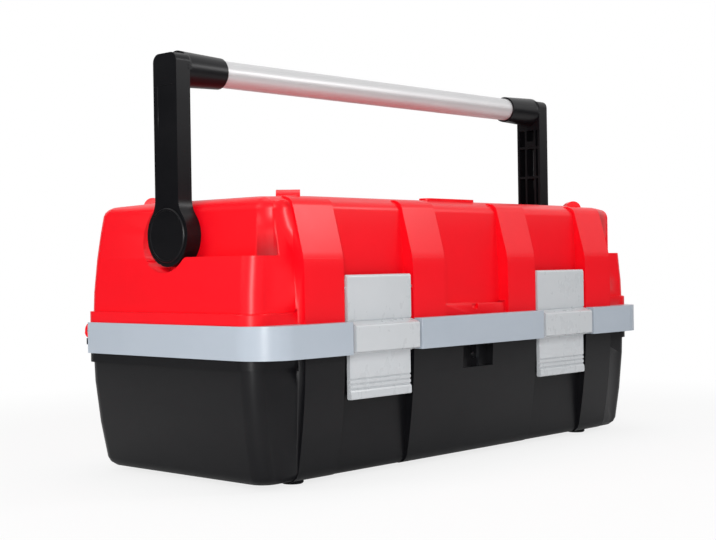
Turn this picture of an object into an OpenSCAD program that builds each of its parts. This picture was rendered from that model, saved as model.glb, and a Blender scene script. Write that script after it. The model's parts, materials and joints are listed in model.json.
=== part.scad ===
// Cantilever tool box: a drafted tub and a rear-hinged lid, a clip-on band in three lengths,
// two draw-down latches, a swinging carry handle and two trays that links lift with the lid.
// Millimetres. +Z up, X along the box, the front faces -Y, the feet stand on z = 0.

/* [Body] */
// Length over the band
band_l = 604.6; // [520:0.1:700]
// Depth from the band's face to the back of the hinge
box_d = 272.6; // [255:0.1:300]
// Height of the line where tub and lid part
part_z = 127.5; // [122:0.5:136]
// Height of the lid's flat top
lid_top = 257; // [250:1:290]
// Wall of tub and lid
wall = 3; // [2.4:0.1:4]
// Radius of the upright corners
corner_r = 15; // [12:1:22]
// Radius of the tub's bottom edge
floor_r = 9; // [4:0.5:10]
// Radius of the lid's top edge
top_r = 9; // [5:0.5:14]
// How much the lid's top is crowned
crown = 3.6; // [1:0.1:5]
// How far the ends draw in from the parting line to the floor
end_draft = 16.5; // [6:0.5:20]
// How far the lid's ends draw in from the parting line to the top
lid_draft = 16; // [4:0.5:18]
// How far tub rim and lid skirt stand proud of the walls
rim_out = 2.3; // [1.5:0.1:4]
// Height of the tub's rim below the parting line
rim_h = 21.8; // [16:0.1:24]
// Height of the lid's skirt above the parting line
skirt_h = 26.2; // [20:0.1:32]

/* [Front] */
// Distance from the band's face to the faces of the raised ribs
rib_back = 10.5; // [8:0.5:14]
// Height of the ribs over the front panels
rib_deep = 11.2; // [8:0.1:14]
// Distance of each latch from the middle
latch_x = 146; // [130:1:170]
// Width of a latch bay
bay_w = 94.7; // [92:0.1:100]
// Width of each raised rib
rib_w = 50; // [36:1:56]
// Height where the lid's ribs start to lean back
rib_knee = 196; // [188:1:208]
// Width of the padlock pocket
lock_w = 48; // [30:1:60]
// Depth of the padlock pocket
lock_deep = 9; // [6:0.5:10]
// Height of the padlock pocket's sill
lock_z = 91; // [84:1:100]
// Diameter of the padlock eye
lock_eye = 7; // [5:0.5:9]

/* [Band] */
// Height of the band
band_h = 29.2; // [27:0.1:34]
// Height of the band's lower edge
band_z = 114.3; // [112:0.1:116]
// Wall of the band
band_t = 2.2; // [2:0.1:3.4]
// Distance of the band's rear ends from the back of the hinge
band_end = 27; // [24:1:60]
// Diameter of the band's pegs
peg_d = 5; // [4:0.5:6]

/* [Latch] */
// Width of a latch
latch_w = 87; // [70:0.5:88]
// Thickness of the latch plate
latch_t = 4; // [3.4:0.1:4.6]
// Height of the latch's upper edge
latch_top = 185.5; // [182:0.5:190]
// Height of the latch's lower edge
latch_low = 73; // [66:0.5:80]
// Distance from the upper edge down to the latch's pin
latch_drop = 12; // [10:0.5:13]
// Diameter of the latch pin
latch_pin_d = 3.6; // [3:0.1:4]
// Height of the raised bridge across the band
bridge_h = 25; // [22:0.1:27]
// Number of grip grooves
grooves = 3; // [2:1:5]

/* [Handle] */
// Height of the handle's pivot
hub_z = 223.4; // [220:0.1:226]
// Distance from the pivot up to the grip tube
handle_rise = 152.8; // [146:0.1:170]
// Distance of the pivot behind the middle of the depth
handle_y = 4.8; // [0:0.1:10]
// Distance of the handle's outer faces from the ends of the band
handle_in = 13.9; // [13:0.1:15]
// Thickness of a handle arm
arm_t = 16; // [14:0.1:17]
// Width of a handle arm
arm_w = 33; // [28:0.5:35]
// Radius of the handle's hub
hub_r = 28.5; // [26:0.5:30]
// Radius of the hub's cap
cap_r = 25; // [22:0.5:25.5]
// Thickness of the hub's cap above the hub
cap_t = 1.4; // [1:0.1:2]
// Diameter of the grip tube
tube_d = 25.4; // [22:0.1:27]
// Wall of the grip tube
tube_wall = 1.5; // [1:0.1:2]
// Length of the boots that grip the tube
boot_l = 48.4; // [40:0.1:60]
// Diameter of the handle's pivot pin
pivot_d = 14; // [10:1:16]

/* [Trays] */
// Distance from the trays' ends to the recess for the handle
tray_in = 10; // [9.4:0.1:14]
// Wall and floor of the trays
tray_t = 2.5; // [2:0.1:3]
// Radius of the trays' upright corners
tray_r = 10; // [6:0.5:14]
// Width of the lip round a tray's front and back edges
tray_lip = 2.5; // [1:0.1:3]
// Distance of the upper tray's front from the inside of the lid
upper_front = 15.6; // [14:0.1:22]
// Distance of the upper tray's back from the hinge's axis
upper_back = 25.3; // [24:0.1:36]
// Height of the upper tray
upper_h = 46; // [36:1:48]
// Distance of the lower tray's front from the inside of the tub
lower_front = 11.6; // [8:0.1:20]
// Height of the lower tray
lower_h = 47; // [36:1:50]
// Reach of the lifting links, level with the ground
link_reach = 120; // [110:1:121]
// Rise of the lifting links
link_rise = 14; // [12:0.5:15]
// Width of a link
link_w = 13; // [11:0.5:15]
// Thickness of a link
link_t = 3; // [2:0.1:3]
// Distance of the long links' feet from the hinge's axis
long_back = 77.3; // [76:0.1:79]
// Distance of the short links' feet from the hinge's axis
short_back = 158.3; // [150:0.1:162]
// Diameter of the link rivets
rivet_d = 6; // [5:0.1:7]
// Depth of the rivets' holes in the tub and of the pins' holes in the lid
rivet_deep = 8; // [6:0.5:9]

/* [Hinge] */
// Radius of the hinge knuckles
knuckle_r = 7; // [6:0.1:7]
// Diameter of the hinge pins
pin_d = 5; // [4:0.1:6]
// Length of each hinge
hinge_l = 84; // [70:1:110]
// Distance of the hinges' outer ends from the ends of the band
hinge_in = 15.3; // [15:0.1:30]
// How far the lid opens, in degrees
lid_open = 95; // [80:1:95]

/* [Feet] */
// Diameter of the feet
foot_d = 20; // [14:1:26]
// Height of the feet
foot_h = 4.3; // [3:0.1:6]
// Distance of the feet's middles from the tub's ends
foot_in = 72; // [40:1:90]
// Distance of the feet's middles from the tub's front and back
foot_edge = 26; // [20:1:40]

/* [Lid top] */
// Distance of the stacking lugs from the lid's ends
lug_in = 72.8; // [60:0.1:90]
// Distance of the stacking lugs from the lid's front and back
lug_edge = 26.8; // [26:0.1:40]
// Radius of the stacking lugs
lug_r = 8.8; // [6:0.1:9]
// Length of the stacking lugs
lug_l = 21.6; // [14:0.1:26]
// Length of the raised pad behind the front edge
pad_l = 78; // [50:1:110]

/* [Output] */
// The sub-part to build

/* [Hidden] */
$fn = 64;
hull_fn = 32;
slab_t = 0.4;
past = 1;
run_gap = 0.05;
side_gap = 0.3;
seat_gap = 0.4;
tray_gap = 2.6;

y_front = -box_d / 2;
y_back = box_d / 2;
rib_y = y_front + rib_back;
panel_y = rib_y + rib_deep;
axis_y = y_back - knuckle_r;
axis_z = part_z + knuckle_r - 0.1;
wall_yb = axis_y - 11.6;
rim_x = band_l / 2 - band_t - side_gap;
rim_yf = panel_y - rim_out;
wall_x = rim_x - rim_out;
rim_r = corner_r + rim_out;
// the band's front corners turn about the same line as the lid rim's
band_r = rim_r + rim_yf - y_front;
bay_in = latch_x - bay_w / 2;
bay_out = latch_x + bay_w / 2;
rib_draft = 14;
rib_root = 16;
panel_draft = 4;
back_draft = 3.5;
lean_front = 0.3;
lean_back = 0.17;
rim_z = part_z - rim_h;
skirt_z = part_z + skirt_h;

latch_y = rib_y + latch_t - 0.2;
latch_z = latch_top - latch_drop;
latch_swing = latch_drop + 0.7;
bridge_z = band_z + (band_h - bridge_h) / 2 - 0.6;

arm_x = band_l / 2 - handle_in;
arm_in = arm_x - arm_t;
recess_x = arm_in - seat_gap;
ledge_z = hub_z - arm_w / 2 - 3.4;
recess_r = 20;
recess_edge = 12;
recess_round = 8;
recess_hub = hub_r + 5.5;
recess_back = arm_w / 2 + 2.5;
tube_z = hub_z + handle_rise;
boot_x = arm_in - boot_l;
// places on the arms, from the hub's line or above the hub
web_up = 36;
panel_up = handle_rise - 73;
panel_h = 57;
// places of the pegs along the band's side pieces
peg_fore = -50;
peg_aft = 70;

tray_x = recess_x - tray_in;
boss_face = tray_x + 4;
link_x = boss_face + side_gap;
anchor_face = link_x + link_t + side_gap;
head_t = 1.5;
upper_z = part_z + 0.5;
lower_z = upper_z - 7 - lower_h;
upper_y = panel_y + wall + upper_front;
upper_d = axis_y - upper_back - upper_y;
lower_y = panel_y + wall + lower_front;
lower_travel = (link_reach * (1 - cos(lid_open)) + link_rise * sin(lid_open)) / 2;
lower_d = wall_yb - wall - tray_gap - lower_travel - tray_lip - lower_y;
lid_pivot = [axis_y - link_reach, axis_z + link_rise];
long_foot = [axis_y - long_back, part_z - 7];
long_top = long_foot + [-link_reach, link_rise];
long_mid = (long_foot + long_top) / 2;
short_foot = [axis_y - short_back, part_z - 41.5];
short_top = short_foot + [-link_reach, link_rise] / 2;

hinge_x = band_l / 2 - hinge_in;
foot_x = wall_x - foot_in;
feet_y = [panel_y + foot_edge, wall_yb - foot_edge];

black = [0.10, 0.10, 0.11];
red = [0.86, 0.07, 0.08];
grey = [0.70, 0.74, 0.79];
pale = [0.80, 0.81, 0.81];
steel = [0.62, 0.63, 0.65];
alu = [0.86, 0.87, 0.88];

// ---------------------------------------------------------------- shared forms

// How far along its draft the tub is at height z, 0 at the parting line.
function tub_draft(z) = pow(1 - z / part_z, 2);

// How far along its draft the lid is at height z.
function lid_lean(z) = pow(max(0, z - part_z) / (lid_top - part_z), 2);

module both_sides() {
    children();
    mirror([1, 0, 0])
        children();
}

// A rectangle with round corners, from x = -x to x, and from y = yf to y = yb.
module round_rect(x, yf, yb, r) {
    translate([-x + r, yf])
        square([2 * (x - r), yb - yf]);
    translate([-x, yf + r])
        square([2 * x, yb - yf - 2 * r]);
    for (sx = [-1, 1])
        for (y = [yf + r, yb - r])
            translate([sx * (x - r), y])
                circle(r = r);
}

module slab(z, x, yf, yb, r) {
    translate([0, 0, z])
        linear_extrude(height = slab_t)
            round_rect(x, yf, yb, r, $fn = hull_fn);
}

// A profile in the YZ plane drawn along X from x0 to x1.
module along_x(x0, x1) {
    translate([x0, 0, 0])
        rotate([90, 0, 90])
            linear_extrude(height = x1 - x0)
                children();
}

module rod_x(x0, x1, y, z, r) {
    translate([x0, y, z])
        rotate([0, 90, 0])
            cylinder(r = r, h = x1 - x0);
}

// ---------------------------------------------------------------- tub

// The tub's body, drawn in by d all round.
module tub_body(d) {
    z0 = foot_h + d;
    r = floor_r - d / 2;
    hull() {
        for (a = [0, 30, 60])
            tub_slab(z0 + r * (1 - cos(a)), d + r * (1 - sin(a)), d);
        for (f = [0, 0.3, 0.65])
            tub_slab(z0 + r + f * (part_z - z0 - r), d, d);
        tub_slab(part_z - slab_t + (d > 0 ? past : 0), d, d);
    }
}

module tub_slab(z, ins, d) {
    k = tub_draft(min(z, part_z));
    slab(
        z, wall_x - end_draft * k - ins, panel_y + panel_draft * k + ins,
        wall_yb - back_draft * k - ins, corner_r - d
    );
}

// The outline of a raised rib on the tub's front, set back by d.
module tub_rib_outline(d) {
    z0 = foot_h + d;
    r = floor_r - d / 2;
    top = part_z + (d > 0 ? past : 0);
    steps = 6;
    curve = [for (i = [0:steps]) let (z = z0 + r + (part_z - z0 - r) * i / steps)
        [rib_y + d + rib_draft * tub_draft(z), z]];
    foot = [for (a = [0:30:60]) let (z = z0 + r * (1 - cos(a)))
        [rib_y + d + rib_draft * tub_draft(z) + r * (1 - sin(a)), z]];
    polygon(concat(
        [[panel_y + rib_root, z0]], foot, curve, [[rib_y + d, top], [panel_y + rib_root, top]]
    ));
}

module tub_ribs(d) {
    along_x(-bay_in + d, bay_in - d)
        tub_rib_outline(d);
    both_sides()
        along_x(bay_out + d, bay_out + rib_w - d)
            tub_rib_outline(d);
}

// The rim's plan, which the band closes on and the latches catch.
module rim_rect(d) {
    round_rect(rim_x + d, rim_yf - d, wall_yb + rim_out + d, rim_r + d);
}

module tub_rim() {
    translate([0, 0, rim_z])
        linear_extrude(height = rim_h)
            rim_rect(0);
    // small corners where the rim runs into the outer ribs
    both_sides()
        rim_corner(rim_z, -1);
}

// A small corner between the rim's edge at height z and the outer rib, up or down.
module rim_corner(z, way) {
    size = 4;
    x0 = bay_out + rib_w;
    translate([x0, panel_y + 1, z])
        rotate([90, 0, 0])
            linear_extrude(height = rim_out + 1)
                difference() {
                    polygon([[-1, -way], [size, -way], [size, 0], [-1, way * size]]);
                    translate([size, way * size])
                        circle(r = size);
                }
}

module lock_pocket() {
    translate([-lock_w / 2, rib_y - past, lock_z])
        cube([lock_w, lock_deep + past, band_z + band_t - lock_z]);
}

// A lug in the pocket with the eye for a padlock's shackle.
module lock_lug() {
    lug_t = 4;
    lug_z = lock_z - past;
    difference() {
        translate([-lug_t / 2, rib_y + 1.5, lug_z])
            cube([lug_t, lock_deep, band_z - lug_z]);
        rod_x(-lug_t, lug_t, rib_y + lock_deep / 2 + 1, (lock_z + band_z) / 2, lock_eye / 2 - 0.5);
    }
}

// Where the links turn: a boss on the end wall with a blind hole for the rivet.
module link_anchors() {
    for (p = [long_foot, short_foot])
        difference() {
            rod_x(anchor_face, wall_x - wall / 2 - end_draft * tub_draft(p[1]), p[0], p[1], link_w / 2 - 0.2);
            rod_x(anchor_face - past, anchor_face + rivet_deep, p[0], p[1], rivet_d / 2);
        }
}

module hinge_shelf() {
    shelf_t = 6;
    x0 = hinge_x - hinge_l;
    top = axis_z - knuckle_r - seat_gap;
    translate([x0, wall_yb, top - shelf_t])
        cube([hinge_l, axis_y + knuckle_r / 2 - wall_yb, shelf_t]);
    for (i = [0, 1])
        along_x(x0 + i * (hinge_l - wall), x0 + i * (hinge_l - wall) + wall)
            polygon([[wall_yb, top - 22], [axis_y, top - shelf_t + 0.5], [wall_yb, top - shelf_t + 0.5]]);
}

// Knuckle i of four, from the outer end inwards; the lid has the even ones.
function knuckle_a(i) = hinge_x - (i + 1) * hinge_l / 4 + seat_gap / 2;
function knuckle_b(i) = hinge_x - i * hinge_l / 4 - seat_gap / 2;

module tub_knuckles() {
    for (i = [1, 3]) {
        rod_x(knuckle_a(i), knuckle_b(i), axis_y, axis_z, knuckle_r);
        translate([knuckle_a(i), axis_y - knuckle_r * 0.7, axis_z - knuckle_r - 1])
            cube([knuckle_b(i) - knuckle_a(i), knuckle_r * 1.4, knuckle_r]);
    }
}

// A shallow recess under the floor, between the feet.
module floor_recess() {
    edge = 44;
    translate([0, 0, foot_h - past])
        linear_extrude(height = past + 1)
            round_rect(foot_x - foot_d, panel_y + edge, wall_yb - edge, 10);
}

module foot_sockets() {
    for (sx = [-1, 1])
        for (y = feet_y)
            translate([sx * foot_x, y, 0])
                cylinder(d = foot_d * 0.4, h = foot_h + wall + 2);
}

module tub() {
    color(black)
        difference() {
            union() {
                difference() {
                    union() {
                        tub_body(0);
                        tub_ribs(0);
                        tub_rim();
                    }
                    lock_pocket();
                    difference() {
                        union() {
                            tub_body(wall);
                            tub_ribs(wall);
                        }
                        translate([-lock_w / 2 - wall, rib_y, lock_z - wall])
                            cube([lock_w + 2 * wall, lock_deep + wall, part_z]);
                    }
                }
                lock_lug();
                both_sides() {
                    link_anchors();
                    hinge_shelf();
                    tub_knuckles();
                }
            }
            foot_sockets();
            floor_recess();
            band_pegs();
            both_sides()
                rod_x(hinge_x - hinge_l - past, hinge_x + past, axis_y, axis_z, pin_d / 2);
        }
}

module foot(sx, y) {
    color(black)
        translate([sx * foot_x, y, 0]) {
            cylinder(d1 = foot_d - 2, d2 = foot_d, h = 1);
            translate([0, 0, 1])
                cylinder(d = foot_d, h = foot_h - 1);
            cylinder(d = foot_d * 0.4, h = foot_h + wall + 1.5);
        }
}

module foot_front_left() { foot(-1, feet_y[0]); }
module foot_front_right() { foot(1, feet_y[0]); }
module foot_rear_left() { foot(-1, feet_y[1]); }
module foot_rear_right() { foot(1, feet_y[1]); }

// ---------------------------------------------------------------- band

// The band's plan, set in by d.
module band_plan(d) {
    x = band_l / 2 - d;
    r = band_r - d;
    yb = y_back - band_end;
    translate([-x + r, y_front + d])
        square([2 * (x - r), yb - y_front - d]);
    translate([-x, y_front + band_r])
        square([2 * x, yb - y_front - band_r]);
    for (sx = [-1, 1])
        translate([sx * (x - r), y_front + band_r])
            circle(r = r);
}

// The plan of what the band closes on: the tub's rim with its ribs, grown by d. Where it is
// grown it runs straight to the band's rear ends, so that the lid's corners swing past them.
module rim_plan(d) {
    rim_rect(d);
    if (d > 0)
        translate([-rim_x - d, 0])
            square([2 * rim_x + 2 * d, box_d / 2]);
    translate([-bay_in - d, rib_y - d])
        square([2 * bay_in + 2 * d, rib_deep]);
    for (sx = [-1, 1])
        translate([sx * (bay_out + rib_w / 2) - rib_w / 2 - d, rib_y - d])
            square([rib_w + 2 * d, rib_deep]);
}

// The part of the plan between x0 and x1.
module band_span(x0, x1) {
    intersection() {
        children();
        translate([x0, y_front - past])
            square([x1 - x0, box_d]);
    }
}

// A channel: face, lower flange that seats on the rim, upper flange clear of the lid.
module band_channel(x0, x1) {
    translate([0, 0, band_z])
        linear_extrude(height = band_h)
            band_span(x0, x1)
                difference() {
                    band_plan(0);
                    band_plan(band_t);
                }
    for (level = [[0, 0], [band_h - band_t, seat_gap]])
        translate([0, 0, band_z + level[0]])
            linear_extrude(height = band_t)
                band_span(x0, x1)
                    difference() {
                        band_plan(0);
                        rim_plan(level[1]);
                    }
}

// End walls that close the channel at x = x0.
module band_close(x0) {
    translate([x0, y_front + 0.5, band_z])
        cube([band_t, rib_back - 0.5 - seat_gap, band_h]);
}

module peg_x(y) {
    rod_x(rim_x - 5, band_l / 2 - band_t / 2, y, band_z + 6, peg_d / 2);
}

module peg_y(x) {
    translate([x, y_front + band_t / 2, band_z + 6])
        rotate([-90, 0, 0])
            cylinder(r = peg_d / 2, h = rib_back + 1.5);
}

module side_pegs() {
    peg_x(peg_fore);
    peg_x(peg_aft);
    peg_y(bay_out + rib_w / 2);
}

module band_pegs() {
    both_sides() {
        side_pegs();
        peg_y(bay_in / 2);
    }
}

module band_right() {
    color(grey) {
        band_channel(bay_out, band_l);
        band_close(bay_out);
        side_pegs();
    }
}

module band_left() {
    mirror([1, 0, 0])
        band_right();
}

module band_front() {
    color(grey) {
        band_channel(-bay_in, bay_in);
        both_sides() {
            band_close(bay_in - band_t);
            peg_y(bay_in / 2);
        }
    }
}

// ---------------------------------------------------------------- lid

module lid_slab(z, ins, d) {
    k = lid_draft * lid_lean(z);
    slab(
        z, wall_x - k - ins, panel_y + lean_front * k + ins, wall_yb - lean_back * k - ins,
        corner_r - d
    );
}

// The lid's body, drawn in by d all round.
module lid_body(d) {
    top = lid_top - crown - d;
    r = top_r - d;
    flat = wall_x - lid_draft - top_r;
    hull() {
        lid_slab(part_z - (d > 0 ? past : 0), d, d);
        for (f = [0.35, 0.6, 0.8])
            lid_slab(part_z + f * (top - part_z), d, d);
        for (a = [0:22.5:90])
            lid_slab(top - r + r * sin(a) - slab_t, d + r * (1 - cos(a)), d);
        // the crown: highest in the middle of the front half
        slab(lid_top - crown / 2 - d - slab_t, flat - 2, panel_y + top_r + 8, 40, corner_r - d);
        slab(lid_top - d - slab_t, flat * 0.8, panel_y + top_r + 11, 0, corner_r - d);
    }
}

// The outline of a raised rib on the lid's front, set back by d.
module lid_rib_outline(d) {
    z0 = part_z - (d > 0 ? past : 0);
    z1 = lid_top - crown;
    polygon([
        [panel_y + rib_root, z0], [rib_y + d, z0], [rib_y + d, rib_knee - 8],
        [rib_y + 0.5 + d, rib_knee + 2], [rib_y + 1.8 + d, rib_knee + 10],
        [panel_y + 1.6 + d, z1 - 6.5 - d], [panel_y + 3 + d, z1 - 2.6 - d],
        [panel_y + 6.4 + d, z1 + 0.4 - d], [panel_y + 11 + d, z1 + 2 - d],
        [panel_y + rib_root + d, z1 + 2.4 - d], [panel_y + rib_root + d, z0]
    ]);
}

module lid_ribs(d) {
    both_sides() {
        along_x(bay_in - rib_w + 2 + d, bay_in - d)
            lid_rib_outline(d);
        along_x(bay_out + d, bay_out + rib_w - d)
            lid_rib_outline(d);
    }
}

// Room in the lid's front for each latch's upper edge to swing, grown by d.
module latch_pockets(d) {
    both_sides() {
        rod_x(bay_in - d, bay_out + d, latch_y, latch_z, latch_swing + d);
        translate([bay_in - d, y_front - past, latch_z - latch_swing - d])
            cube([bay_w + 2 * d, latch_y - y_front + past, 2 * latch_swing + 2 * d]);
    }
}

module lid_skirt() {
    translate([0, 0, part_z])
        linear_extrude(height = skirt_h)
            rim_rect(0);
    both_sides()
        rim_corner(skirt_z, 1);
}

// A sill across the foot of the middle recess, with a notch for a padlock's shackle.
module middle_sill() {
    half = bay_in - rib_w + 2;
    notch = 4.5;
    round = 5;
    difference() {
        translate([0, panel_y + 2.6, 0])
            rotate([90, 0, 0])
                linear_extrude(height = 10)
                    difference() {
                        translate([-half - past, part_z])
                            square([2 * half + 2 * past, skirt_h + round]);
                        translate([-half + round, skirt_z + round])
                            circle(r = round);
                        translate([half - round, skirt_z + round])
                            circle(r = round);
                        translate([-half + round, skirt_z])
                            square([2 * half - 2 * round, 2 * round]);
                    }
        translate([-notch, panel_y - 9, skirt_z - 6])
            cube([2 * notch, 4, 7]);
    }
}

// Room for a handle arm on the end wall, at x > 0, grown inwards by d: it clears the hub and
// the arm's sweep from upright to lying forward on the ledge.
module arm_recess(d) {
    deep = 60;
    y0 = y_front - 10;
    y1 = handle_y + recess_back + d;
    translate([recess_x - d, y0, ledge_z - d])
        cube([deep, y1 - y0, 2 * (lid_top - ledge_z)]);
    translate([recess_x - d, handle_y, hub_z])
        rotate([90, 0, 90])
            linear_extrude(height = deep + d) {
                circle(r = recess_hub + d);
                if (d == 0)
                    recess_corners();
            }
    // upright corner at the front
    difference() {
        translate([recess_x - recess_r, y0, ledge_z - d])
            cube([deep, panel_y + recess_r - y0, 2 * (lid_top - ledge_z)]);
        translate([recess_x - recess_r, panel_y + recess_r, ledge_z - d - past])
            cylinder(r = recess_r - d, h = 3 * (lid_top - ledge_z));
        translate([0, panel_y + d, ledge_z - d - past])
            cube([recess_x - recess_r, box_d, lid_top]);
    }
    // rolled upper edge
    edge_z = lid_top - crown / 2 - recess_edge;
    difference() {
        translate([recess_x - recess_edge, y0, edge_z])
            cube([deep, y1 - y0, deep]);
        translate([recess_x - recess_edge, y0 - past, edge_z])
            rotate([-90, 0, 0])
                cylinder(r = recess_edge - d, h = box_d + 20);
    }
    translate([recess_x - recess_r, panel_y + recess_r, edge_z])
        difference() {
            translate([0, -deep, 0])
                cube([deep, deep, deep]);
            translate([0, 0, -past])
                cylinder(r = recess_r - recess_edge, h = 2 * deep);
            rotate_extrude()
                intersection() {
                    translate([recess_r - recess_edge, 0])
                        circle(r = recess_edge - d);
                    translate([0, -recess_edge])
                        square([recess_r, 2 * recess_edge]);
                }
        }
}

// Where the hub's round room meets the ledge and the rear edge the wall's corners are rounded.
module recess_corners() {
    r = recess_round;
    ledge = ledge_z - hub_z;
    far = recess_hub + r;
    low = [-sqrt(far * far - pow(ledge - r, 2)), ledge - r];
    high = [recess_back + r, sqrt(far * far - pow(recess_back + r, 2))];
    difference() {
        polygon([[low[0], ledge + past], [low[0], ledge], low * recess_hub / far, [0, ledge]]);
        translate(low)
            circle(r = r);
    }
    difference() {
        polygon([[recess_back, high[1]], high * recess_hub / far, [recess_back - past, 0], [recess_back - past, high[1]]]);
        translate(high)
            circle(r = r);
    }
}

module lid_cavity() {
    difference() {
        union() {
            lid_body(wall);
            lid_ribs(wall);
        }
        latch_pockets(wall);
        both_sides()
            arm_recess(wall);
    }
}

// Stacking lugs, set across the corners of the lid's top.
module stack_lugs() {
    lug_up = 5.6;
    step = arm_x - recess_x - 6.5;
    for (sx = [-1, 1])
        for (sy = [-1, 1])
            translate([
                sx * (wall_x - lug_in + (sy > 0 ? step : 0)),
                sy < 0 ? panel_y + lug_edge : wall_yb - lug_edge,
                lid_top + lug_up - lug_r
            ])
                rotate([0, 0, -sx * sy * 45 + 90])
                    rotate([90, 0, 0])
                        difference() {
                            translate([0, 0, -lug_l / 2])
                                cylinder(r = lug_r, h = lug_l);
                            translate([-2 * lug_r, -2 * lug_r - (sy > 0 ? 2.2 : 0.8), -lug_l])
                                cube([4 * lug_r, 2 * lug_r, 2 * lug_l]);
                        }
}

module top_pad() {
    translate([0, 0, lid_top - 1])
        linear_extrude(height = 3.6)
            round_rect(pad_l / 2, panel_y + 20, panel_y + 34, 6);
}

// A boss inside each end wall, where the upper tray hangs from the lid.
module tray_boss() {
    difference() {
        rod_x(
            tray_x + seat_gap, wall_x - wall / 2 - lid_draft * lid_lean(lid_pivot[1]),
            lid_pivot[0], lid_pivot[1], link_w / 2
        );
        rod_x(
            tray_x - past, tray_x + 2 * rivet_deep, lid_pivot[0], lid_pivot[1],
            rivet_d / 2 + run_gap
        );
    }
}

module lid_knuckles() {
    for (i = [0, 2]) {
        rod_x(knuckle_a(i), knuckle_b(i), axis_y, axis_z, knuckle_r);
        translate([knuckle_a(i), wall_yb, axis_z - knuckle_r * 0.6])
            cube([knuckle_b(i) - knuckle_a(i), axis_y - wall_yb, knuckle_r * 1.5]);
    }
}

module lid() {
    color(red)
        difference() {
            union() {
                difference() {
                    union() {
                        lid_body(0);
                        lid_ribs(0);
                        lid_skirt();
                        middle_sill();
                    }
                    latch_pockets(0);
                    lid_cavity();
                    both_sides()
                        arm_recess(0);
                }
                stack_lugs();
                top_pad();
                both_sides() {
                    tray_boss();
                    lid_knuckles();
                }
            }
            both_sides() {
                rod_x(hinge_x - hinge_l - past, hinge_x + past, axis_y, axis_z, pin_d / 2 + run_gap);
                rod_x(recess_x - 2 * wall, recess_x + past, handle_y, hub_z, pivot_d / 2);
                rod_x(bay_in - wall - 1, bay_out + wall + 1, latch_y, latch_z, latch_pin_d / 2);
            }
        }
}

module hinge_pins() {
    color(steel)
        both_sides()
            rod_x(hinge_x - hinge_l, hinge_x, axis_y, axis_z, pin_d / 2);
}

// ---------------------------------------------------------------- latches

// The latch's section: plate, bridge over the band, grip with grooves and a lip.
module latch_section() {
    y0 = rib_y;
    y1 = y_front;
    z0 = bridge_z;
    z1 = bridge_z + bridge_h;
    slope = 3;
    pitch = 4.4;
    cut = 1;
    grip = latch_low + 8;
    difference() {
        union() {
            polygon([
                [y0, latch_top - 2], [y0 + 1.2, latch_top], [y0 + latch_t - 1, latch_top],
                [y0 + latch_t, latch_top - 2],
                [y0 + latch_t, z1 + slope - 1], [y1 + latch_t, z1 - latch_t / 2],
                [y1 + latch_t, z0 + latch_t / 2], [y0 + latch_t, z0 - slope + 1],
                [y0 + latch_t, latch_low + 1], [y0 + latch_t - 1, latch_low],
                [y0 - 0.4, latch_low], [y0 - 1, latch_low + 1], [y0 - 1, grip - 1.5], [y0, grip],
                [y0, z0 - slope / 2], [y1 + 1, z0], [y1, z0 + 1], [y1, z1 - 1.5], [y1 + 1.5, z1],
                [y0 + 1, z1 + slope], [y0, z1 + slope + 1.5]
            ]);
            translate([latch_y, latch_z])
                circle(r = latch_pin_d / 2 + 2);
        }
        for (i = [0:grooves - 1])
            translate([y0 - past, grip + 0.6 + i * pitch])
                square([cut + past, 1.6]);
    }
}

// The catch rests a running gap in front of the tub's rim.
module latch_catch() {
    tip = rim_yf - seat_gap;
    back = rib_y + latch_t - 0.5;
    polygon([
        [back, band_z - 9], [tip, band_z - 4], [tip, band_z + 1.5], [back, band_z + 4]
    ]);
}

module latch(sx) {
    x0 = sx * latch_x - latch_w / 2;
    inset = 2;
    color(pale)
        difference() {
            union() {
                along_x(x0, x0 + latch_w)
                    latch_section();
                along_x(x0 + 16, x0 + latch_w - 16)
                    latch_catch();
                for (i = [0:4])
                    along_x(x0 + i * (latch_w - 2.4) / 4, x0 + i * (latch_w - 2.4) / 4 + 2.4)
                        polygon([
                            [y_front + 2, bridge_z + bridge_h - 2], [y_front + 2, bridge_z + 2],
                            [rib_y + latch_t - 1, bridge_z - 2], [rib_y + latch_t - 1, bridge_z + bridge_h + 2]
                        ]);
            }
            rod_x(x0 - past, x0 + latch_w + past, latch_y, latch_z, latch_pin_d / 2 + run_gap);
            for (i = [0, 1])
                translate([x0 + i * latch_w, 0, latch_low + 8])
                    mirror([i, 0, 0])
                        translate([-past, rib_y - 3, -20])
                            cube([inset + past, latch_t + 6, bridge_z - latch_low + 10]);
        }
}

module latch_left() { latch(-1); }
module latch_right() { latch(1); }

module latch_pins() {
    color(steel)
        both_sides()
            rod_x(bay_in - wall, bay_out + wall, latch_y, latch_z, latch_pin_d / 2);
}

// ---------------------------------------------------------------- handle

// The arm's outline from the side: round hub, fillets, straight arm with a round top.
module arm_outline() {
    half = arm_w / 2;
    fillet = 22;
    up = sqrt(pow(hub_r + fillet, 2) - pow(half + fillet, 2));
    share = hub_r / (hub_r + fillet);
    top = handle_rise + 13;
    top_round = 8;
    circle(r = hub_r);
    difference() {
        polygon([
            [half, up], [(half + fillet) * share, up * share],
            [-(half + fillet) * share, up * share], [-half, up]
        ]);
        for (s = [-1, 1])
            translate([s * (half + fillet), up])
                circle(r = fillet);
    }
    translate([-half, up - past / 4])
        square([arm_w, top - top_round - up + past / 4]);
    translate([-half + top_round, top - top_round - past])
        square([arm_w - 2 * top_round, top_round + past]);
    for (s = [-1, 1])
        translate([s * (half - top_round), top - top_round])
            circle(r = top_round);
}

// At x > 0, turned into place.
module on_arm(x0, h) {
    translate([x0, handle_y, hub_z])
        rotate([90, 0, 90])
            linear_extrude(height = h)
                children();
}

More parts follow.
